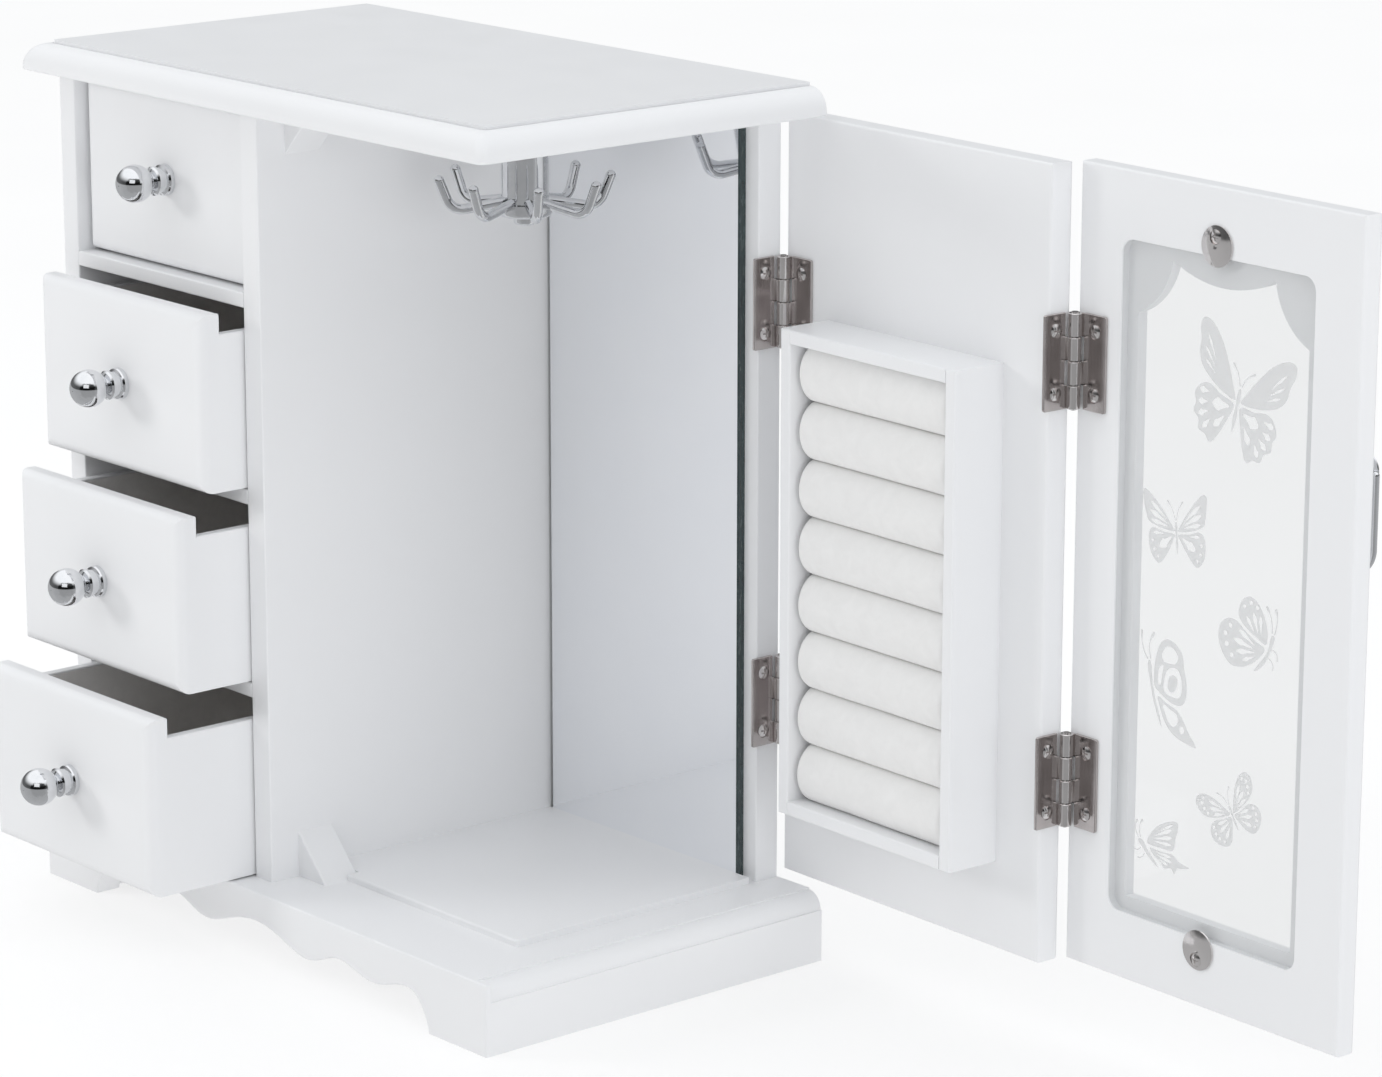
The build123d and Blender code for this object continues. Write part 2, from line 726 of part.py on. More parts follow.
# --------------------------------------------------------------- front door
front_mid = edge_off + front_w / 2
rebate_zc = (rebate_z0 + rebate_z1) / 2
inner_face = upright(door_b, front_mid, leaf_off)
with BuildPart(door_b) as front_door_frame:
    with Locations((front_mid, leaf_off + front_door_t / 2, door_zc)):
        Box(front_w, front_door_t, door_h)
    fillet(front_door_frame.faces().sort_by(through)[-1].edges(), radius=round_out)
    fillet(front_door_frame.faces().sort_by(through)[0].edges(), radius=round_in)
    with BuildSketch(inner_face):
        with Locations((0, rebate_zc)):
            RectangleRounded(rebate_w, rebate_z1 - rebate_z0, 5.0)
    extrude(amount=-rebate_d, mode=Mode.SUBTRACT)
    # Window with a scalloped head: two corner lobes and one hanging lobe.
    with BuildSketch(inner_face):
        with BuildLine():
            Polyline(
                (win_half, win_shoulder),
                (win_half, win_z0),
                (-win_half, win_z0),
                (-win_half, win_shoulder),
            )
            ThreePointArc(
                (-win_half, win_shoulder),
                (-win_half + 10.4, win_shoulder + 8.0),
                (-win_peak_a, win_peak_z),
            )
            ThreePointArc(
                (-win_peak_a, win_peak_z), (0, win_mid_z), (win_peak_a, win_peak_z)
            )
            ThreePointArc(
                (win_peak_a, win_peak_z),
                (win_half - 10.4, win_shoulder + 8.0),
                (win_half, win_shoulder),
            )
        make_face()
    extrude(amount=-front_door_t, mode=Mode.SUBTRACT)
    outer = front_door_frame.faces().sort_by(through)[-1]
    chamfer(outer.inner_wires()[0].edges(), length=1.8)
    with Locations(
        *[
            (moving_a, leaf_off + shank_len / 2, z + s * screw_dz)
            for z in hinge_z
            for s in (-1, 1)
        ],
        *[
            (front_mid, leaf_off + shank_len / 2, z)
            for z in (clip_z[0] + 3.2, clip_z[1] - 3.2)
        ],
    ):
        Cylinder(shank_r, shank_len, rotation=(90, 0, 0), mode=Mode.SUBTRACT)
save(front_door_frame.part, "front_door_frame")

with BuildPart() as door_glass:
    with BuildSketch(upright(door_b, front_mid, leaf_off + rebate_d - glass_t)):
        with Locations((0, rebate_zc)):
            RectangleRounded(rebate_w - 0.4, rebate_z1 - rebate_z0 - 0.4, 4.8)
    extrude(amount=-glass_t)
save(door_glass.part, "door_glass")

with BuildPart(door_b) as glass_clips:
    clip_dome = (clip_r**2 + (clip_t - clip_edge) ** 2) / (2 * (clip_t - clip_edge))
    for z in clip_z:
        disc = Plane(
            origin=door_b.from_local_coords(Vector(front_mid, leaf_off, z)),
            x_dir=(ea[0], ea[1], 0),
            z_dir=(0, 0, 1),
        )
        with BuildSketch(disc):
            with BuildLine():
                Polyline((0, -clip_t), (0, 0), (clip_r, 0), (clip_r, -clip_edge))
                ThreePointArc(
                    (clip_r, -clip_edge),
                    (
                        clip_r / 2,
                        -clip_t + clip_dome - sqrt(clip_dome**2 - clip_r**2 / 4),
                    ),
                    (0, -clip_t),
                )
            make_face()
        revolve(axis=Axis(disc.origin, (eb[0], eb[1], 0)))
    with Locations(
        (front_mid, leaf_off - clip_t / 2, clip_z[0] + 3.2),
        (front_mid, leaf_off - clip_t / 2, clip_z[1] - 3.2),
    ):
        Cylinder(shank_r, clip_t, rotation=(90, 0, 0), mode=Mode.SUBTRACT)
    with Locations(
        *[
            (front_mid, seat_b - 0.8, z)
            for z in (clip_z[0] + 3.2, clip_z[1] - 3.2)
        ]
    ):
        Cylinder(head_r + 0.2, 1.6, rotation=(90, 0, 0), mode=Mode.SUBTRACT)
save(glass_clips.part, "glass_clips")

with BuildPart(door_b) as front_door_hinge_leaves:
    with Locations(*[(0, 0, z) for z in hinge_z]):
        add(moving_leaf.part)
save(front_door_hinge_leaves.part, "front_door_hinge_leaves")

with BuildPart(door_b) as front_door_screws:
    with Locations(
        *[
            Location((moving_a, seat_b, z + s * screw_dz), (90, 0, 0))
            for z in hinge_z
            for s in (-1, 1)
        ],
        *[
            Location((front_mid, seat_b, z), (90, 0, 0))
            for z in (clip_z[0] + 3.2, clip_z[1] - 3.2)
        ],
    ):
        add(screw.part)
save(front_door_screws.part, "front_door_screws")

# Handle on the outer face: rosette, post and button cap, with a cross bore for
# the bar of the hanging ring.
with BuildPart() as handle_rosette:
    rosette_plane = Plane(
        origin=door_b.from_local_coords(Vector(handle_a, front_outer, handle_z)),
        x_dir=(ea[0], ea[1], 0),
        z_dir=(0, 0, 1),
    )
    with BuildSketch(rosette_plane):
        with BuildLine():
            Polyline(
                (0, 0),
                (5.0, 0),
                (5.0, 0.9),
                (4.4, 1.5),
                (2.6, 1.5),
                (2.6, 6.9),
                (5.6, 6.9),
                (6.5, 7.6),
                (6.5, 8.3),
            )
            dome_r = (6.5**2 + (cap_p - 8.3) ** 2) / (2 * (cap_p - 8.3))
            ThreePointArc(
                (6.5, 8.3),
                (3.5, cap_p - dome_r + sqrt(dome_r**2 - 3.5**2)),
                (0, cap_p),
            )
            Line((0, cap_p), (0, 0))
        make_face()
    revolve(axis=Axis(rosette_plane.origin, (eb[0], eb[1], 0)))
    bore = Plane(
        origin=rosette_plane.from_local_coords(Vector(0, handle_p, 0)),
        x_dir=(0, 0, 1),
        z_dir=(ea[0], ea[1], 0),
    )
    with Locations(bore.location):
        Cylinder(bar_r + 0.08, 20, mode=Mode.SUBTRACT)
save(handle_rosette.part, "handle_rosette")

ring_plane = Plane(
    origin=door_b.from_local_coords(
        Vector(handle_a, front_outer + handle_p, handle_z)
    ),
    x_dir=(ea[0], ea[1], 0),
    z_dir=(-eb[0], -eb[1], 0),
)
drop = ring_len - ring_half - ring_r
bend = Plane(
    origin=ring_plane.from_local_coords(Vector(ring_half, -drop, 0)),
    x_dir=(ea[0], ea[1], 0),
    z_dir=(0, 0, 1),
)
with BuildPart(ring_plane) as handle_ring:
    Cylinder(bar_r, 2 * ring_half, rotation=(0, 90, 0))
    with Locations((-ring_half, 0, 0), (ring_half, 0, 0)):
        Sphere(ring_r)
    with Locations((-ring_half, -drop / 2, 0), (ring_half, -drop / 2, 0)):
        Cylinder(ring_r, drop, rotation=(90, 0, 0))
    with BuildSketch(bend):
        Circle(ring_r)
    revolve(
        axis=Axis(
            ring_plane.from_local_coords(Vector(0, -drop, 0)), (eb[0], eb[1], 0)
        ),
        revolution_arc=180,
    )
save(handle_ring.part, "handle_ring")
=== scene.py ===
"""Looks of a tabletop jewelry armoire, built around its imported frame.

Metres, in the frame of the CAD model: +X to the right, +Y to the back, +Z up.
"""

import json
import math

import bmesh
import bpy
import numpy as np
from mathutils import Matrix, Vector, noise


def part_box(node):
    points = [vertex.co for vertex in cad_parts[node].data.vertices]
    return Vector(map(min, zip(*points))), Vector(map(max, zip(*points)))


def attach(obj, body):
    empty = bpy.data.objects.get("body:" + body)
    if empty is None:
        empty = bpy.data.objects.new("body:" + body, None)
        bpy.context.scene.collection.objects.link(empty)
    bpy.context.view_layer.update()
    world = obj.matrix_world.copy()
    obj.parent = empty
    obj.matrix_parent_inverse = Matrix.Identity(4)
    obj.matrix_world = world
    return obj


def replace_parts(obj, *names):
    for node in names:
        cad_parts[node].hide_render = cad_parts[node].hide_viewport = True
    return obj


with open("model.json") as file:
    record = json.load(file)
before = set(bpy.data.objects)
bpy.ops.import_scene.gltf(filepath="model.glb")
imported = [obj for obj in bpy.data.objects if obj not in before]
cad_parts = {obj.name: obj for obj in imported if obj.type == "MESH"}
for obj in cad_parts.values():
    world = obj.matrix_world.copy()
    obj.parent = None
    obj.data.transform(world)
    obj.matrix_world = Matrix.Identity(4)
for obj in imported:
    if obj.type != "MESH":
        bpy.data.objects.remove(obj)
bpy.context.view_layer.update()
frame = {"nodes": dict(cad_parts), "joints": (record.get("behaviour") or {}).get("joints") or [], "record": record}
nodes = frame["nodes"]
scene = bpy.context.scene
scene.view_settings.view_transform = "Standard"
scene.view_settings.look = "None"

MM = 0.001

# ------------------------------------------------------------------ door frames
# Local frames at the two door hinges: a along the door, b through it to the back.
TURN = math.radians(-1.75)
EA = Vector((math.cos(TURN), math.sin(TURN), 0))
EB = Vector((-math.sin(TURN), math.cos(TURN), 0))
HINGE = {j["name"]: Vector(j["pos_m"]) for j in frame["joints"] if "pos_m" in j}
AXIS1 = Vector((HINGE["side_door_hinge"].x, HINGE["side_door_hinge"].y, 0))
AXIS2 = Vector((HINGE["front_door_hinge"].x, HINGE["front_door_hinge"].y, 0))


def on_door(axis, a, b, z):
    """A point given in millimetres in a door's frame, as a vector in metres."""
    return axis + (EA * a + EB * b + Vector((0, 0, z))) * MM


# -------------------------------------------------------------------- materials
class Shader:
    """A material with one Principled shader, and short ways to add its nodes."""

    def __init__(self, name, **constants):
        self.mat = bpy.data.materials.new(name)
        self.mat.use_nodes = True
        self.tree = self.mat.node_tree
        self.tree.nodes.clear()
        self.out = self.add("ShaderNodeOutputMaterial")
        self.bsdf = self.add("ShaderNodeBsdfPrincipled")
        self.link(self.bsdf, "BSDF", self.out, "Surface")
        self.coords = self.add("ShaderNodeTexCoord")
        for key, value in constants.items():
            self.bsdf.inputs[key.replace("_", " ")].default_value = value

    def add(self, kind, **settings):
        node = self.tree.nodes.new(kind)
        for key, value in settings.items():
            setattr(node, key, value)
        return node

    def link(self, a, out, b, into):
        self.tree.links.new(a.outputs[out], b.inputs[into])

    def mapped(self, scale=(1, 1, 1), rotation=(0, 0, 0)):
        node = self.add("ShaderNodeMapping")
        node.inputs["Scale"].default_value = scale
        node.inputs["Rotation"].default_value = rotation
        self.link(self.coords, "Object", node, "Vector")
        return node

    def noise(self, scale, detail=2.0, rough=0.5, vector=None, distortion=0.0):
        node = self.add("ShaderNodeTexNoise")
        node.inputs["Scale"].default_value = scale
        node.inputs["Detail"].default_value = detail
        node.inputs["Roughness"].default_value = rough
        node.inputs["Distortion"].default_value = distortion
        if vector is None:
            self.link(self.coords, "Object", node, "Vector")
        else:
            self.link(vector, "Vector", node, "Vector")
        return node

    def ramp(self, source, out, stops):
        node = self.add("ShaderNodeValToRGB")
        els = node.color_ramp.elements
        while len(els) < len(stops):
            els.new(0.5)
        for el, (pos, col) in zip(els, stops):
            el.position = pos
            el.color = col if len(col) == 4 else (*col, 1.0)
        self.link(source, out, node, "Fac")
        return node

    def span(self, source, out, lo, hi, from_lo=0.0, from_hi=1.0):
        node = self.add("ShaderNodeMapRange")
        node.inputs["From Min"].default_value = from_lo
        node.inputs["From Max"].default_value = from_hi
        node.inputs["To Min"].default_value = lo
        node.inputs["To Max"].default_value = hi
        self.link(source, out, node, "Value")
        return node

    def bump(self, source, out, strength, distance, chain=None):
        node = self.add("ShaderNodeBump")
        node.inputs["Strength"].default_value = strength
        node.inputs["Distance"].default_value = distance
        self.link(source, out, node, "Height")
        if chain is not None:
            self.link(chain, "Normal", node, "Normal")
        return node

    def colour(self, node, out="Color"):
        self.link(node, out, self.bsdf, "Base Color")

    def rough(self, node, out="Result"):
        self.link(node, out, self.bsdf, "Roughness")

    def normal(self, node):
        self.link(node, "Normal", self.bsdf, "Normal")


def painted():
    """Satin white lacquer on fibreboard: faint roller texture and slow colour drift."""
    s = Shader("white_paint", IOR=1.48, Coat_Weight=0.12, Coat_Roughness=0.22)
    drift = s.noise(14.0, 3.0, 0.55)
    s.colour(
        s.ramp(
            drift,
            "Fac",
            [(0.3, (0.888, 0.893, 0.905)), (0.7, (0.899, 0.903, 0.914))],
        )
    )
    gloss = s.noise(55.0, 4.0, 0.6)
    s.rough(s.span(gloss, "Fac", 0.39, 0.44, 0.3, 0.7))
    peel = s.noise(620.0, 2.0, 0.45)
    fine = s.noise(2600.0, 2.0, 0.5)
    s.normal(
        s.bump(fine, "Fac", 0.05, 0.00004, s.bump(peel, "Fac", 0.09, 0.00012))
    )
    return s.mat


def velvet(name, dark, light, sheen, nap_scale=170.0, pile=1.0):
    """Short-pile velvet: brushed patches, fine fibres, and a soft edge sheen."""
    s = Shader(
        name,
        Sheen_Weight=sheen,
        Sheen_Roughness=0.35,
        IOR=1.3,
    )
    s.bsdf.inputs["Specular IOR Level"].default_value = 0.12
    brushed = s.noise(nap_scale, 4.0, 0.62, distortion=0.6)
    s.colour(s.ramp(brushed, "Fac", [(0.28, dark), (0.72, light)]))
    s.rough(s.span(brushed, "Fac", 0.82, 0.97))
    fibre = s.noise(4200.0, 3.0, 0.7)
    tufts = s.noise(900.0, 3.0, 0.6)
    s.normal(
        s.bump(
            fibre, "Fac", 0.35 * pile, 0.00012, s.bump(tufts, "Fac", 0.22 * pile, 0.0002)
        )
    )
    return s.mat


def chrome():
    """Polished chrome plate with faint buffing marks."""
    s = Shader("polished_chrome", Metallic=1.0)
    marks = s.noise(260.0, 3.0, 0.6)
    s.colour(
        s.ramp(marks, "Fac", [(0.3, (0.74, 0.75, 0.77)), (0.7, (0.80, 0.805, 0.82))])
    )
    s.rough(s.span(marks, "Fac", 0.05, 0.10, 0.3, 0.7))
    s.normal(s.bump(marks, "Fac", 0.02, 0.00006))
    return s.mat


def nickel(name, dark, light):
    """Nickel-plated pressed steel, lightly brushed up and down."""
    s = Shader(name, Metallic=1.0)
    streak = s.noise(900.0, 3.0, 0.6, s.mapped((1.0, 1.0, 0.06)))
    cloud = s.noise(120.0, 3.0, 0.5)
    s.colour(s.ramp(cloud, "Fac", [(0.25, dark), (0.75, light)]))
    s.rough(s.span(streak, "Fac", 0.09, 0.17, 0.3, 0.7))
    s.normal(s.bump(streak, "Fac", 0.06, 0.00008))
    return s.mat


def silvered():
    """Front of a mirror pane."""
    s = Shader("silvered_glass", Metallic=1.0)
    haze = s.noise(40.0, 3.0, 0.5)
    s.colour(
        s.ramp(haze, "Fac", [(0.3, (0.950, 0.962, 0.985)), (0.7, (0.962, 0.972, 0.990))])
    )
    s.rough(s.span(haze, "Fac", 0.02, 0.045, 0.3, 0.7))
    return s.mat


def glass_edge():
    """Cut edge of float glass: deep green, with a ground texture."""
    s = Shader("cut_glass_edge", Coat_Weight=0.6, Coat_Roughness=0.1)
    ground = s.noise(700.0, 3.0, 0.6, s.mapped((1.0, 1.0, 0.2)))
    s.colour(
        s.ramp(ground, "Fac", [(0.25, (0.012, 0.022, 0.024)), (0.8, (0.040, 0.066, 0.068))])
    )
    s.rough(s.span(ground, "Fac", 0.18, 0.34))
    s.normal(s.bump(ground, "Fac", 0.12, 0.00006))
    return s.mat


def clear_glass():
    """Clear float glass, thin enough to see straight through, with a sharp gloss."""
    s = Shader("clear_glass", IOR=3.0, Alpha=0.105)
    tint = s.noise(30.0, 2.0, 0.5)
    s.colour(
        s.ramp(tint, "Fac", [(0.3, (0.25, 0.275, 0.28)), (0.7, (0.27, 0.30, 0.305))])
    )
    s.rough(s.span(tint, "Fac", 0.015, 0.03, 0.3, 0.7))
    return s.mat


def frosted():
    """Etched ornament on the glass: matt, pale and half see-through."""
    s = Shader("frosted_etch", IOR=1.35)
    s.bsdf.inputs["Alpha"].default_value = 0.52
    grit = s.noise(2400.0, 3.0, 0.7)
    s.colour(
        s.ramp(grit, "Fac", [(0.3, (0.74, 0.745, 0.75)), (0.7, (0.80, 0.805, 0.81))])
    )
    s.rough(s.span(grit, "Fac", 0.75, 0.95))
    s.normal(s.bump(grit, "Fac", 0.2, 0.00003))
    return s.mat


PAINT = painted()
ROLL_VELVET = velvet(
    "off_white_velvet", (0.85, 0.846, 0.838), (0.89, 0.886, 0.878), 0.15, 170.0, 0.6
)
LINING_VELVET = velvet(
    "grey_velvet_lining", (0.82, 0.80, 0.78), (0.88, 0.86, 0.84), 0.15, 220.0
)
CHROME = chrome()
NICKEL = nickel("nickel_plate", (0.74, 0.71, 0.70), (0.82, 0.79, 0.78))
# Darker copy of the nickel for the flat hinge leaves: painted shade for the dark surroundings they mirror.
NICKEL_PAINTED_DARK = nickel("nickel_plate_painted_dark", (0.50, 0.462, 0.452), (0.60, 0.556, 0.546))
SILVER = silvered()
GLASS_EDGE = glass_edge()
GLASS = clear_glass()
FROST = frosted()

BY_SLOT = {
    "painted_wood": PAINT,
    "velvet": ROLL_VELVET,
    "chrome": CHROME,
    "nickel": NICKEL,
    "mirror": SILVER,
    "glass": GLASS,
}
for part in frame["record"]["subparts"]:
    mesh = nodes[part["node"]].data
    mesh.materials.clear()
    mesh.materials.append(BY_SLOT[part["material_slot"]])

# Light reaches what lies behind the clear pane, which is held just off its ledge.
nodes["door_glass"].visible_shadow = False
shrink = nodes["door_glass"].modifiers.new("clear_of_ledge", "DISPLACE")
shrink.strength, shrink.mid_level = -0.00008, 0.0

# Hinges: the flat leaves take a darker copy of the nickel. This is painted shade standing in for the dark
# surroundings they mirror. The rolled knuckles keep the lighter nickel.
for name in (
    "cabinet_hinge_leaves", "side_door_hinge_leaves", "corner_hinge_leaves", "front_door_hinge_leaves",
):
    leaf = nodes[name].data
    leaf.materials.append(NICKEL_PAINTED_DARK)
    for poly in leaf.polygons:
        at = nodes[name].matrix_world @ poly.center
        away = min((Vector((at.x, at.y, 0)) - axis).length for axis in (AXIS1, AXIS2))
        poly.material_index = 1 if away > 0.0028 else 0

# The mirror pane: silvered front, dark cut edges.
mirror = nodes["mirror"].data
mirror.materials.append(GLASS_EDGE)
for poly in mirror.polygons:
    poly.material_index = 0 if poly.normal.y < -0.9 else 1


# --------------------------------------------------------------------- helpers
def link(obj):
    scene.collection.objects.link(obj)
    return obj


def mesh_object(name, verts, faces, material, smooth=True):
    mesh = bpy.data.meshes.new(name)
    mesh.from_pydata([tuple(v) for v in verts], [], faces)
    mesh.validate()
    mesh.materials.append(material)
    if smooth:
        for poly in mesh.polygons:
            poly.use_smooth = True
    return link(bpy.data.objects.new(name, mesh))


def apply_modifiers(obj):
    dg = bpy.context.evaluated_depsgraph_get()
    made = bpy.data.meshes.new_from_object(obj.evaluated_get(dg))
    obj.modifiers.clear()
    obj.data = made


# -------------------------------------------------------------- drawer linings
def lining(level):
    """Velvet lining of one drawer: floor and four walls, one soft folded shell."""
    name = level + "_drawer_"
    left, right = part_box(name + "left_side"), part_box(name + "right_side")
    front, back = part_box(name + "front"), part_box(name + "back")
    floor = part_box(name + "bottom")
    slack, thick = 0.00004, 0.0007
    x0, x1 = left[1].x + slack, right[0].x - slack
    y0, y1 = front[1].y + slack, back[0].y - slack
    z0, z1 = floor[1].z + slack, left[1].z - 0.0007
    bm = bmesh.new()
    outer = bmesh.ops.create_cube(bm, size=1.0)["verts"]
    for v in outer:
        v.co = Vector(
            (
                x0 if v.co.x < 0 else x1,
                y0 if v.co.y < 0 else y1,
                z0 if v.co.z < 0 else z1,
            )
        )
    top = max(bm.faces, key=lambda f: f.calc_center_median().z)
    inset = bmesh.ops.inset_individual(bm, faces=[top], thickness=thick)
    del inset
    top = max(
        (f for f in bm.faces if f.calc_area() < (x1 - x0) * (y1 - y0) * 0.999),
        key=lambda f: (f.calc_center_median().z, f.calc_area()),
    )
    pushed = bmesh.ops.extrude_face_region(bm, geom=[top])
    moved = [g for g in pushed["geom"] if isinstance(g, bmesh.types.BMVert)]
    bmesh.ops.delete(bm, geom=[top], context="FACES_ONLY")
    for v in moved:
        v.co.z = z0 + thick
    well = [
        e
        for e in bm.edges
        if all(v in moved for v in e.verts)
        or (
            abs(e.verts[0].co.x - e.verts[1].co.x) < 1e-7
            and abs(e.verts[0].co.y - e.verts[1].co.y) < 1e-7
            and x0 + thick / 2 < e.verts[0].co.x < x1 - thick / 2
        )
    ]
    bmesh.ops.bevel(
        bm, geom=well, offset=0.0016, segments=4, profile=0.5, affect="EDGES"
    )
    rim = [
        e
        for e in bm.edges
        if all(abs(v.co.z - z1) < 1e-7 for v in e.verts)
    ]
    bmesh.ops.bevel(
        bm, geom=rim, offset=0.00022, segments=2, profile=0.5, affect="EDGES"
    )
    bmesh.ops.recalc_face_normals(bm, faces=bm.faces)
    mesh = bpy.data.meshes.new(name + "lining")
    bm.to_mesh(mesh)
    bm.free()
    mesh.materials.append(LINING_VELVET)
    for poly in mesh.polygons:
        poly.use_smooth = True
    mesh.set_sharp_from_angle(angle=math.radians(40))
    obj = link(bpy.data.objects.new(name + "lining", mesh))
    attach(obj, level + "_drawer")


for level in ("top", "second", "third", "bottom"):
    lining(level)

# ------------------------------------------------------------------- ring rolls
TRAY_A = (21.6 + 5.0, 112.0 - 5.0)      # inside of the ring tray along the door
TRAY_Z0, PITCH, ROLLS = 65.5, 20.75, 8
ROLL_B = 2.6 - 10.2 - 0.3               # roll centre through the door


def roll_mesh(index, scale):
    """A closed capsule with soft domed ends, in a scaled space, slightly uneven."""
    around, along, cap = 36, 30, 6
    half = (TRAY_A[1] - TRAY_A[0]) / 2 - 0.3
    radius, dome = 9.7, 3.6
    rows = []
    for k in range(cap):
        t = math.pi / 2 * (1 - (k + 0.6) / (cap + 0.6))
        rows.append((-half + dome * (1 - math.sin(t)), radius * math.cos(t) ** 0.75))
    for k in range(along + 1):
        rows.append((-half + dome + (2 * half - 2 * dome) * k / along, radius))
    for k in reversed(range(cap)):
        t = math.pi / 2 * (1 - (k + 0.6) / (cap + 0.6))
        rows.append((half - dome * (1 - math.sin(t)), radius * math.cos(t) ** 0.75))
    verts, faces = [], []
    for a, r in rows:
        for j in range(around):
            ang = 2 * math.pi * j / around
            d = Vector((math.cos(ang), math.sin(ang)))
            wob = 1 + 0.018 * noise.noise(
                Vector((a * 0.06 + 13.7 * index, d.x * 0.9, d.y * 0.9))
            )
            verts.append(Vector((a, r * d.x * wob, r * d.y * wob)) * scale)
    for i in range(len(rows) - 1):
        for j in range(around):
            j2 = (j + 1) % around
            faces.append(
                (i * around + j, i * around + j2, (i + 1) * around + j2, (i + 1) * around + j)
            )
    first = len(verts)
    verts.append(Vector((-half, 0, 0)) * scale)
    verts.append(Vector((half, 0, 0)) * scale)
    last = (len(rows) - 1) * around
    for j in range(around):
        j2 = (j + 1) % around
        faces.append((j2, j, first))
        faces.append((last + j, last + j2, first + 1))
    return verts, faces


def make_rolls():
    """Eight foam rolls in velvet, swollen by air pressure into their cells."""
    scale = 0.02                        # 20 times real size while simulating
    verts, faces, counts = [], [], []
    for k in range(ROLLS):
        v, f = roll_mesh(k, scale)
        base = len(verts)
        verts += [p + Vector((0, 0, k * 1.0)) for p in v]
        faces += [tuple(i + base for i in q) for q in f]
        counts.append((base, base + len(v)))
    obj = mesh_object("ring_rolls_velvet", verts, faces, ROLL_VELVET)
    rest = np.array([tuple(v) for v in verts])
    cloth = obj.modifiers.new("air", "CLOTH")
    st = cloth.settings
    st.quality = 6
    st.mass = 0.3
    st.air_damping = 2.0
    st.tension_stiffness = 18
    st.compression_stiffness = 18
    st.shear_stiffness = 8
    st.bending_stiffness = 2.0
    st.use_pressure = True
    st.uniform_pressure_force = 4.0
    st.effector_weights.gravity = 0.0
    cloth.collision_settings.use_collision = False
    cloth.collision_settings.use_self_collision = False
    cloth.point_cache.frame_start, cloth.point_cache.frame_end = 1, 20
    for f in range(1, 21):
        scene.frame_set(f)
    apply_modifiers(obj)
    scene.frame_set(1)
    co = np.empty(len(obj.data.vertices) * 3)
    obj.data.vertices.foreach_get("co", co)
    co = co.reshape(-1, 3)
    # Cap the swelling, then press each roll into its cell: neighbours above and
    # below, the door behind, the tray walls at the ends.
    out = np.empty_like(co)
    a_mid = (TRAY_A[0] + TRAY_A[1]) / 2
    half = (TRAY_A[1] - TRAY_A[0]) / 2 - 0.15
    for k, (i0, i1) in enumerate(counts):
        now = (co[i0:i1] - np.array((0, 0, k * 1.0))) / scale
        was = (rest[i0:i1] - np.array((0, 0, k * 1.0))) / scale
        move = now - was
        size = np.linalg.norm(move, axis=1, keepdims=True)
        move *= np.minimum(1.0, 1.2 / np.maximum(size, 1e-9))
        p = was + move
        cell = PITCH / 2 - 0.03
        p[:, 2] = np.clip(p[:, 2] * 1.16, -cell, cell)
        p[:, 1] = np.clip(p[:, 1], -10.6, 10.1)
        p[:, 0] = np.clip(p[:, 0], -half, half)
        zc = TRAY_Z0 + (k + 0.5) * PITCH
        for n, (a, b, z) in enumerate(p):
            out[i0 + n] = on_door(AXIS1, a_mid + a, ROLL_B + b, zc + z)
    obj.data.vertices.foreach_set("co", out.ravel())
    obj.data.update()
    sub = obj.modifiers.new("soften", "SUBSURF")
    sub.levels = sub.render_levels = 1
    apply_modifiers(obj)
    obj.data.materials.clear()
    obj.data.materials.append(ROLL_VELVET)
    for poly in obj.data.polygons:
        poly.use_smooth = True
    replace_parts(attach(obj, "side_door"), "ring_rolls")


make_rolls()


# ------------------------------------------------------------ frosted ornament
# Flat butterflies drawn as outlines: a filled outline, then the cells cut from it.
def smooth_loop(points, per=6):
    """Closed smooth outline through points."""
    n, out = len(points), []
    for i in range(n):
        p0, p1, p2, p3 = (points[(i + k - 1) % n] for k in range(4))
        for s in range(per):
            t = s / per
            out.append(
                tuple(
                    0.5
                    * (
                        2 * p1[c]
                        + (p2[c] - p0[c]) * t
                        + (2 * p0[c] - 5 * p1[c] + 4 * p2[c] - p3[c]) * t * t
                        + (3 * p1[c] - p0[c] - 3 * p2[c] + p3[c]) * t**3
                    )
                    for c in (0, 1)
                )
            )
    return out


def cell(p, q, width, blunt=0.7):
    """A teardrop from its narrow end p to its round end q."""
    dx, dy = q[0] - p[0], q[1] - p[1]
    long = math.hypot(dx, dy)
    nx, ny = -dy / long, dx / long

    def at(f, w):
        return (p[0] + dx * f + nx * w, p[1] + dy * f + ny * w)

    return smooth_loop(
        [
            p, at(0.45, width * 0.62), at(blunt, width),
            q, at(blunt, -width), at(0.45, -width * 0.62),
        ],
        5,
    )


def spot(x, y, r):
    return [
        (x + r * math.cos(t * math.pi / 6), y + r * math.sin(t * math.pi / 6))
        for t in range(12)
    ]


def strip(path, width, club=0.0):
    """A thin line along a path, with a small club at its end."""
    left, right = [], []
    for i, p in enumerate(path):
        a, b = path[max(i - 1, 0)], path[min(i + 1, len(path) - 1)]
        long = math.hypot(b[0] - a[0], b[1] - a[1])
        w = width + (club if i == len(path) - 1 else 0)
        nx, ny = -(b[1] - a[1]) / long * w, (b[0] - a[0]) / long * w
        left.append((p[0] + nx, p[1] + ny))
        right.append((p[0] - nx, p[1] - ny))
    return smooth_loop(left + right[::-1], 4)


def both_sides(loops):
    return loops + [[(-x, y) for x, y in loop] for loop in loops]


def cells(*rows):
    return [cell(*row) for row in rows]


def spots(*rows):
    return [spot(*row) for row in rows]


def body(top, tail):
    return smooth_loop(
        [
            (0, top), (0.029, top - 0.05), (0.036, top - 0.17), (0.026, -0.03), (0.032, -0.23),
            (0, tail), (-0.032, -0.23), (-0.026, -0.03), (-0.036, top - 0.17), (-0.029, top - 0.05),
        ],
        4,
    )


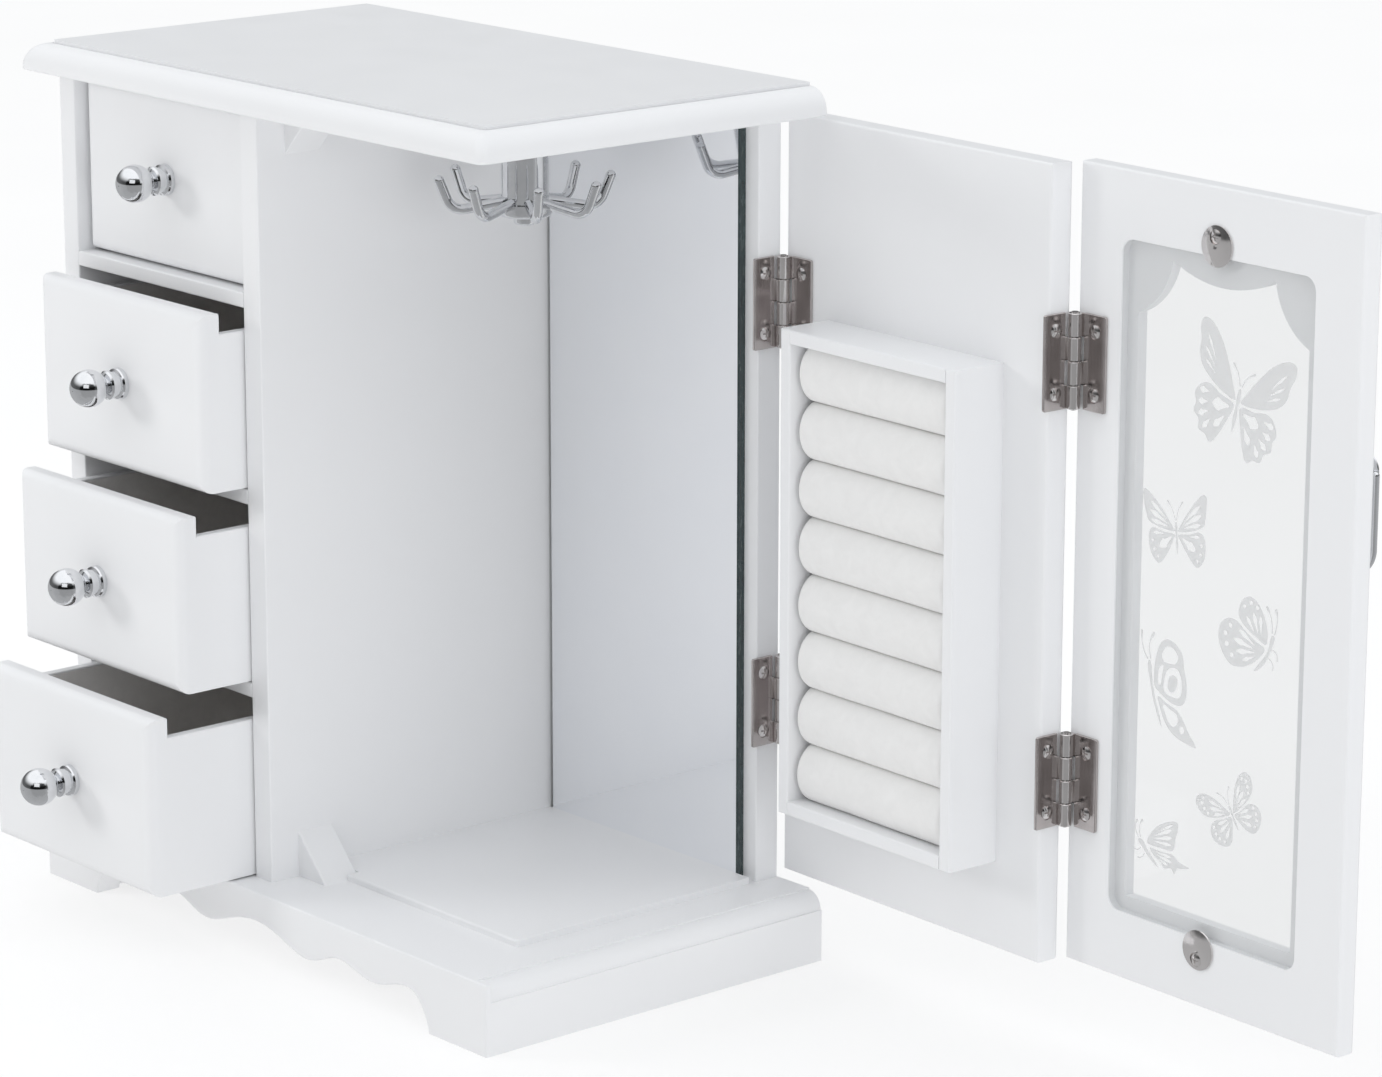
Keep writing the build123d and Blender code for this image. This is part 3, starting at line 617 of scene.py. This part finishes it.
def spread():
    """From above, with nearly solid fore wings and open, scalloped hind wings."""
    wing = [
        smooth_loop(
            [
                (0.065, 0.05), (0.12, 0.20), (0.30, 0.52), (0.52, 0.82), (0.76, 1.00), (0.93, 1.00),
                (0.97, 0.86), (0.91, 0.66), (0.89, 0.47), (0.80, 0.31), (0.62, 0.19), (0.36, 0.09),
            ]
        ),
        smooth_loop(
            [
                (0.065, -0.02), (0.34, 0.03), (0.58, 0.10), (0.74, 0.03), (0.83, -0.13), (0.78, -0.27),
                (0.79, -0.41), (0.67, -0.50), (0.63, -0.64), (0.49, -0.67), (0.38, -0.75), (0.27, -0.62),
                (0.15, -0.33),
            ]
        ),
    ]
    wing += cells(
        ((0.56, 0.48), (0.80, 0.80), 0.020),
        ((0.55, 0.38), (0.80, 0.60), 0.020),
        ((0.52, 0.28), (0.76, 0.42), 0.020),
        ((0.14, -0.08), (0.47, -0.16), 0.10, 0.66),
        ((0.20, -0.26), (0.36, -0.48), 0.055),
        ((0.56, -0.03), (0.75, -0.05), 0.052, 0.66),
        ((0.56, -0.18), (0.73, -0.24), 0.052, 0.66),
        ((0.52, -0.31), (0.69, -0.42), 0.050, 0.66),
        ((0.46, -0.42), (0.56, -0.59), 0.048, 0.66),
    )
    wing.append(strip([(0.02, 0.29), (0.06, 0.40), (0.13, 0.50), (0.22, 0.57)], 0.009, 0.010))
    return both_sides(wing) + [body(0.26, -0.44)]


def open_wings():
    """From above, with long open cells."""
    wing = [
        smooth_loop(
            [
                (0.06, 0.05), (0.14, 0.20), (0.38, 0.50), (0.68, 0.80), (0.90, 0.94), (0.99, 0.86),
                (0.97, 0.62), (0.92, 0.40), (0.84, 0.22), (0.50, 0.10),
            ]
        ),
        smooth_loop(
            [
                (0.06, -0.02), (0.40, 0.02), (0.70, 0.09), (0.86, -0.02), (0.88, -0.28), (0.80, -0.54),
                (0.62, -0.70), (0.46, -0.62), (0.26, -0.38), (0.12, -0.16),
            ]
        ),
    ]
    wing += cells(
        ((0.24, 0.14), (0.76, 0.26), 0.050),
        ((0.24, 0.20), (0.80, 0.48), 0.058),
        ((0.27, 0.29), (0.76, 0.68), 0.052),
        ((0.16, -0.08), (0.56, -0.34), 0.105, 0.62),
        ((0.40, -0.03), (0.72, -0.02), 0.036),
    )
    wing += spots((0.76, -0.20, 0.036), (0.72, -0.40, 0.036), (0.61, -0.56, 0.036))
    wing.append(strip([(0.02, 0.31), (0.06, 0.46), (0.13, 0.60), (0.23, 0.72)], 0.010, 0.014))
    return both_sides(wing) + [body(0.28, -0.46)]


def dotted():
    """From above, with round wings and a dotted margin."""
    wing = [
        smooth_loop(
            [
                (0.06, 0.04), (0.14, 0.22), (0.36, 0.56), (0.62, 0.80), (0.86, 0.84), (0.98, 0.70),
                (0.96, 0.48), (0.84, 0.28), (0.56, 0.13), (0.30, 0.06),
            ]
        ),
        smooth_loop(
            [
                (0.06, -0.03), (0.32, 0.01), (0.58, 0.07), (0.78, 0.00), (0.88, -0.18), (0.84, -0.40),
                (0.68, -0.58), (0.46, -0.66), (0.28, -0.54), (0.14, -0.28),
            ]
        ),
    ]
    wing += cells(
        ((0.22, 0.10), (0.58, 0.22), 0.042),
        ((0.22, 0.17), (0.62, 0.42), 0.052),
        ((0.25, 0.27), (0.56, 0.60), 0.044),
        ((0.20, -0.05), (0.56, -0.05), 0.046),
        ((0.19, -0.12), (0.58, -0.25), 0.052),
        ((0.20, -0.22), (0.46, -0.46), 0.048),
    )
    wing += spots(
        (0.73, 0.32, 0.042), (0.79, 0.47, 0.045), (0.80, 0.62, 0.045), (0.70, 0.72, 0.038),
        (0.90, 0.60, 0.020), (0.88, 0.73, 0.020), (0.71, -0.07, 0.042), (0.73, -0.24, 0.044),
        (0.67, -0.39, 0.042), (0.55, -0.51, 0.036),
    )
    wing.append(strip([(0.02, 0.29), (0.06, 0.44), (0.13, 0.58), (0.22, 0.68)], 0.009, 0.013))
    return both_sides(wing) + [body(0.26, -0.42)]


def folded():
    """From the side, facing right, wings held up."""
    loops = [
        smooth_loop(
            [
                (0.50, -0.06), (0.56, 0.20), (0.47, 0.56), (0.26, 0.86), (0.02, 0.97), (-0.22, 0.86),
                (-0.34, 0.60), (-0.30, 0.40), (-0.06, 0.20), (0.24, 0.05),
            ]
        ),
        smooth_loop(
            [
                (0.46, -0.15), (0.16, -0.02), (-0.14, 0.16), (-0.40, 0.34), (-0.68, 0.36), (-0.92, 0.18),
                (-0.98, -0.14), (-0.86, -0.46), (-0.60, -0.70), (-0.26, -0.70), (0.08, -0.56), (0.36, -0.34),
            ]
        ),
        smooth_loop(
            [
                (0.78, 0.14), (0.72, 0.20), (0.65, 0.12), (0.60, -0.10), (0.48, -0.32), (0.28, -0.54),
                (0.12, -0.72), (0.26, -0.68), (0.46, -0.50), (0.62, -0.26), (0.72, -0.06),
            ],
            4,
        ),
    ]
    loops += cells(
        ((0.36, 0.14), (0.34, 0.58), 0.050),
        ((0.26, 0.15), (0.12, 0.62), 0.060),
        ((0.14, 0.17), (-0.10, 0.50), 0.050),
        ((0.16, -0.14), (-0.34, 0.16), 0.060),
        ((0.12, -0.22), (-0.50, -0.08), 0.070),
        ((0.14, -0.30), (-0.42, -0.36), 0.064),
        ((0.14, -0.40), (-0.22, -0.54), 0.044),
    )
    loops += spots(
        (0.24, 0.75, 0.050), (0.04, 0.83, 0.052), (-0.16, 0.72, 0.046), (-0.60, 0.20, 0.055),
        (-0.76, 0.00, 0.060), (-0.72, -0.24, 0.060), (-0.56, -0.48, 0.055),
    )
    loops.append(strip([(0.70, 0.25), (0.70, 0.46), (0.64, 0.66), (0.54, 0.82)], 0.016, 0.02))
    loops.append(strip([(0.78, 0.22), (0.84, 0.42), (0.86, 0.62), (0.82, 0.80)], 0.016, 0.02))
    loops.append(strip([(0.72, -0.14), (0.84, -0.22), (0.86, -0.38)], 0.014))
    loops.append(strip([(0.60, -0.36), (0.72, -0.46), (0.72, -0.60)], 0.014))
    return loops


def perched():
    """From the side, body upright at the left, hind wing drawn to a point."""
    loops = [
        smooth_loop(
            [
                (-0.46, 0.02), (-0.44, 0.40), (-0.30, 0.76), (-0.06, 0.92), (0.22, 0.88), (0.46, 0.70),
                (0.52, 0.44), (0.60, 0.18), (0.58, -0.10), (0.42, -0.26), (0.12, -0.26), (-0.24, -0.13),
            ]
        ),
        smooth_loop(
            [(-0.20, 0.62), (-0.06, 0.78), (0.16, 0.78), (0.32, 0.64), (0.24, 0.50), (0.04, 0.48), (-0.14, 0.50)], 5
        ),
        smooth_loop([(-0.34, 0.08), (-0.30, 0.34), (-0.16, 0.42), (-0.20, 0.22), (-0.26, 0.04)], 5),
        smooth_loop(
            [
                (-0.16, 0.00), (-0.08, 0.28), (0.08, 0.40), (0.30, 0.40), (0.42, 0.26), (0.44, 0.06),
                (0.36, -0.12), (0.12, -0.14), (-0.06, -0.10),
            ],
            5,
        ),
        smooth_loop([(-0.02, 0.02), (0.04, 0.22), (0.18, 0.28), (0.30, 0.20), (0.24, 0.02), (0.10, -0.06)], 5),
        smooth_loop(
            [
                (-0.34, -0.19), (-0.06, -0.28), (0.26, -0.36), (0.48, -0.52), (0.64, -0.72), (0.90, -0.98),
                (0.52, -0.94), (0.20, -0.86), (-0.06, -0.70), (-0.24, -0.46),
            ]
        ),
        smooth_loop([(-0.18, -0.32), (0.06, -0.38), (0.28, -0.46), (0.30, -0.60), (0.16, -0.70), (-0.02, -0.60)], 5),
        spot(0.44, -0.72, 0.075),
        smooth_loop(
            [
                (-0.66, 0.42), (-0.60, 0.46), (-0.55, 0.36), (-0.52, 0.12), (-0.44, -0.20), (-0.32, -0.46),
                (-0.22, -0.76), (-0.36, -0.56), (-0.50, -0.26), (-0.60, 0.06), (-0.66, 0.28),
            ],
            4,
        ),
    ]
    loops.append(strip([(-0.58, 0.50), (-0.62, 0.68), (-0.58, 0.84), (-0.46, 0.98)], 0.018, 0.02))
    loops.append(strip([(-0.68, 0.48), (-0.80, 0.62), (-0.86, 0.80), (-0.86, 0.98)], 0.018, 0.02))
    return loops


def tailed():
    """From the side, facing left, swept wings with a tail."""
    loops = [
        smooth_loop(
            [
                (-0.50, -0.08), (-0.38, 0.22), (-0.08, 0.50), (0.26, 0.66), (0.52, 0.70), (0.56, 0.52),
                (0.48, 0.26), (0.46, 0.04), (0.36, -0.08), (0.00, -0.10),
            ]
        ),
        smooth_loop(
            [
                (-0.42, -0.18), (-0.04, -0.19), (0.34, -0.17), (0.52, -0.24), (0.66, -0.32), (0.98, -0.38),
                (0.70, -0.46), (0.56, -0.50), (0.46, -0.66), (0.34, -0.54), (0.10, -0.60), (-0.06, -0.46),
                (-0.26, -0.36),
            ]
        ),
        smooth_loop(
            [
                (-0.84, -0.04), (-0.76, -0.02), (-0.66, -0.06), (-0.54, -0.20), (-0.40, -0.34), (-0.24, -0.48),
                (-0.10, -0.64), (-0.30, -0.54), (-0.50, -0.40), (-0.68, -0.24), (-0.82, -0.12),
            ],
            4,
        ),
    ]
    loops += cells(
        ((-0.30, 0.02), (0.34, 0.06), 0.040, 0.74),
        ((-0.28, 0.09), (0.36, 0.26), 0.052, 0.74),
        ((-0.24, 0.18), (0.34, 0.46), 0.050, 0.74),
        ((-0.14, 0.31), (0.38, 0.60), 0.030, 0.74),
        ((-0.22, -0.24), (0.34, -0.26), 0.036, 0.74),
        ((-0.18, -0.31), (0.36, -0.38), 0.042, 0.74),
        ((-0.10, -0.40), (0.22, -0.49), 0.036, 0.74),
    )
    loops.append(strip([(-0.84, 0.01), (-0.92, 0.14), (-0.94, 0.30), (-0.88, 0.44)], 0.014, 0.02))
    loops.append(strip([(-0.76, 0.03), (-0.80, 0.20), (-0.78, 0.36), (-0.70, 0.48)], 0.014, 0.02))
    loops.append(strip([(-0.74, -0.26), (-0.84, -0.34), (-0.96, -0.34)], 0.014))
    loops.append(strip([(-0.60, -0.38), (-0.70, -0.50), (-0.84, -0.54)], 0.014))
    return loops


def butterfly(name, loops, centre, size, lean, squeeze=1.0):
    """One flat etched butterfly on the pane's inner face.

    centre is (a, z) in millimetres on the door and size half its span."""
    curve = bpy.data.curves.new(name, "CURVE")
    curve.dimensions = "2D"
    curve.fill_mode = "BOTH"
    curve.extrude = 0.00002
    for loop in loops:
        spline = curve.splines.new("POLY")
        spline.points.add(len(loop) - 1)
        for pt, (x, y) in zip(spline.points, loop):
            pt.co = (x * squeeze * size * MM, y * size * MM, 0, 1)
        spline.use_cyclic_u = True
    tmp = link(bpy.data.objects.new(name + "_line", curve))
    dg = bpy.context.evaluated_depsgraph_get()
    mesh = bpy.data.meshes.new_from_object(tmp.evaluated_get(dg))
    mesh.name = name
    bpy.data.objects.remove(tmp)
    turn = Matrix.Rotation(math.radians(lean), 4, "Z")
    seat = Matrix(
        (
            (EA.x, 0, EB.x, 0),
            (EA.y, 0, EB.y, 0),
            (0, 1, 0, 0),
            (0, 0, 0, 1),
        )
    )
    mesh.transform(turn)
    mesh.transform(seat)
    mesh.transform(
        Matrix.Translation(on_door(AXIS2, centre[0], 2.8 - 0.035, centre[1]))
    )
    mesh.materials.clear()
    mesh.materials.append(FROST)
    obj = link(bpy.data.objects.new(name, mesh))
    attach(obj, "front_door")


butterfly("frosted_butterfly_1", spread(), (73.4, 237.3), 22.4, -13, 1.02)
butterfly("frosted_butterfly_2", open_wings(), (47.4, 189.3), 15.0, 6)
butterfly("frosted_butterfly_3", folded(), (82.1, 161.0), 14.5, 2)
butterfly("frosted_butterfly_4", perched(), (45.4, 135.8), 18.2, 2, 0.79)
butterfly("frosted_butterfly_5", dotted(), (76.7, 99.5), 13.2, 32, 1.1)
butterfly("frosted_butterfly_6", tailed(), (44.2, 81.2), 13.4, 0)


# ------------------------------------------------------------------------ stage
# Strength of each light source in the studio.
LIGHT = {
    "key": 4.6,
    "right": 4.9,
    "low": 6.3,
    "fill": 4.9,
    "sky": 1.19,
    "wall_near": 0.08,
    "wall_far": 0.14,
    "ground": 0.36,
    "floor": 0.595,
}


def studio():
    floor_mesh = bpy.data.meshes.new("floor")
    bm = bmesh.new()
    bmesh.ops.create_grid(bm, x_segments=1, y_segments=1, size=60.0)
    bm.to_mesh(floor_mesh)
    bm.free()
    s = Shader("pale_floor", Roughness=0.9)
    s.bsdf.inputs["Specular IOR Level"].default_value = 0.1
    grain = s.noise(6.0, 2.0)
    s.colour(s.ramp(grain, "Fac", [(0.3, (0.40, 0.40, 0.40)), (0.7, (0.41, 0.41, 0.41))]))
    s.bsdf.inputs["Emission Color"].default_value = (1, 1, 1, 1)
    s.bsdf.inputs["Emission Strength"].default_value = LIGHT["floor"]
    floor_mesh.materials.append(s.mat)
    floor = link(bpy.data.objects.new("floor", floor_mesh))
    floor.location.z = -0.0002
    floor.visible_glossy = False

    def softbox(name, place, aim, size, colour):
        data = bpy.data.lights.new(name, "AREA")
        data.shape = "RECTANGLE"
        data.size, data.size_y = size
        data.energy = LIGHT[name]
        data.color = colour
        obj = link(bpy.data.objects.new(name, data))
        obj.location = place
        obj.rotation_mode = "QUATERNION"
        obj.rotation_quaternion = (Vector(aim) - Vector(place)).to_track_quat("-Z", "Y")
        obj.visible_camera = False
        obj.visible_glossy = name == "fill"

    softbox("key", (-1.1, -1.1, 0.63), (0, 0, 0.15), (0.36, 0.36), (1.0, 0.995, 0.985))
    softbox("right", (2.6, -0.2, 1.0), (0, 0, 0.15), (1.8, 1.8), (0.95, 0.97, 1.0))
    softbox("low", (2.2, -0.4, 0.4), (0, 0, 0.15), (1.2, 0.7), (0.97, 0.98, 1.0))
    softbox("fill", (1.5, -2.0, 1.3), (0, 0, 0.1), (1.6, 1.0), (0.97, 0.985, 1.0))

    # Surroundings: a pale ceiling, and walls that are set apart near and far.
    world = bpy.data.worlds.new("studio")
    world.use_nodes = True
    tree = world.node_tree
    tree.nodes.clear()
    out = tree.nodes.new("ShaderNodeOutputWorld")
    back = tree.nodes.new("ShaderNodeBackground")
    coord = tree.nodes.new("ShaderNodeTexCoord")
    split = tree.nodes.new("ShaderNodeSeparateXYZ")
    tree.links.new(coord.outputs["Generated"], split.inputs["Vector"])

    def math_node(kind, a, b):
        node = tree.nodes.new("ShaderNodeMath")
        node.operation = kind
        for socket, value in zip(node.inputs, (a, b)):
            if isinstance(value, (int, float)):
                socket.default_value = value
            else:
                tree.links.new(value, socket)
        return node.outputs[0]

    def step(value, lo, hi, to_lo=0.0, to_hi=1.0):
        node = tree.nodes.new("ShaderNodeMapRange")
        node.interpolation_type = "SMOOTHSTEP"
        for key, v in (("From Min", lo), ("From Max", hi), ("To Min", to_lo), ("To Max", to_hi)):
            node.inputs[key].default_value = v
        tree.links.new(value, node.inputs["Value"])
        return node.outputs["Result"]

    toward = math_node(
        "ADD",
        math_node("MULTIPLY", split.outputs["X"], 0.77),
        math_node("MULTIPLY", split.outputs["Y"], -0.64),
    )
    near = step(toward, -0.3, 0.6, LIGHT["wall_far"], LIGHT["wall_near"])
    high = step(split.outputs["Z"], 0.2, 0.7)
    low = step(split.outputs["Z"], 0.2, 0.7, 1.0, 0.0)
    total = math_node(
        "ADD",
        math_node("MULTIPLY", high, LIGHT["sky"]),
        math_node("MULTIPLY", low, near),
    )
    # Below the horizon only polished things look past the floor, into a grey room.
    below = step(split.outputs["Z"], -0.04, 0.02, LIGHT["ground"], 0.0)
    # A dark, uneven opening in the near wall, for the polished metal to mirror.
    ragged = tree.nodes.new("ShaderNodeTexNoise")
    ragged.inputs["Scale"].default_value = 4.0
    ragged.inputs["Detail"].default_value = 3.0
    tree.links.new(coord.outputs["Generated"], ragged.inputs["Vector"])
    shift = math_node("MULTIPLY", math_node("SUBTRACT", ragged.outputs["Fac"], 0.5), 0.5)
    opening = math_node(
        "MULTIPLY",
        step(math_node("ADD", toward, shift), 0.62, 0.74),
        step(math_node("ADD", split.outputs["Z"], shift), 0.56, 0.66, 1.0, 0.0),
    )
    kept = math_node("SUBTRACT", 1.0, math_node("MULTIPLY", opening, 0.9))
    total = math_node("ADD", math_node("MULTIPLY", total, kept), below)
    back.inputs["Color"].default_value = (0.97, 0.985, 1.0, 1)
    tree.links.new(total, back.inputs["Strength"])
    tree.links.new(back.outputs["Background"], out.inputs["Surface"])
    scene.world = world


def camera():
    yaw, pitch, roll = (math.radians(x) for x in (49.0919, 14.2992, 0.0535))
    flat = Vector((-math.sin(yaw), math.cos(yaw), 0))
    side = Vector((math.cos(yaw), math.sin(yaw), 0))
    up = Vector((0, 0, 1))
    ahead = flat * math.cos(pitch) - up * math.sin(pitch)
    rise = up * math.cos(pitch) + flat * math.sin(pitch)
    right = side * math.cos(roll) + rise * math.sin(roll)
    top = rise * math.cos(roll) - side * math.sin(roll)
    data = bpy.data.cameras.new("camera")
    data.sensor_width = 36.0
    data.lens = 36.0 * 4899.227 / 1382
    obj = link(bpy.data.objects.new("camera", data))
    obj.matrix_world = Matrix(
        (
            (right.x, top.x, -ahead.x, 1.253390),
            (right.y, top.y, -ahead.y, -1.044958),
            (right.z, top.z, -ahead.z, 0.586129),
            (0, 0, 0, 1),
        )
    )
    scene.camera = obj


studio()
camera()
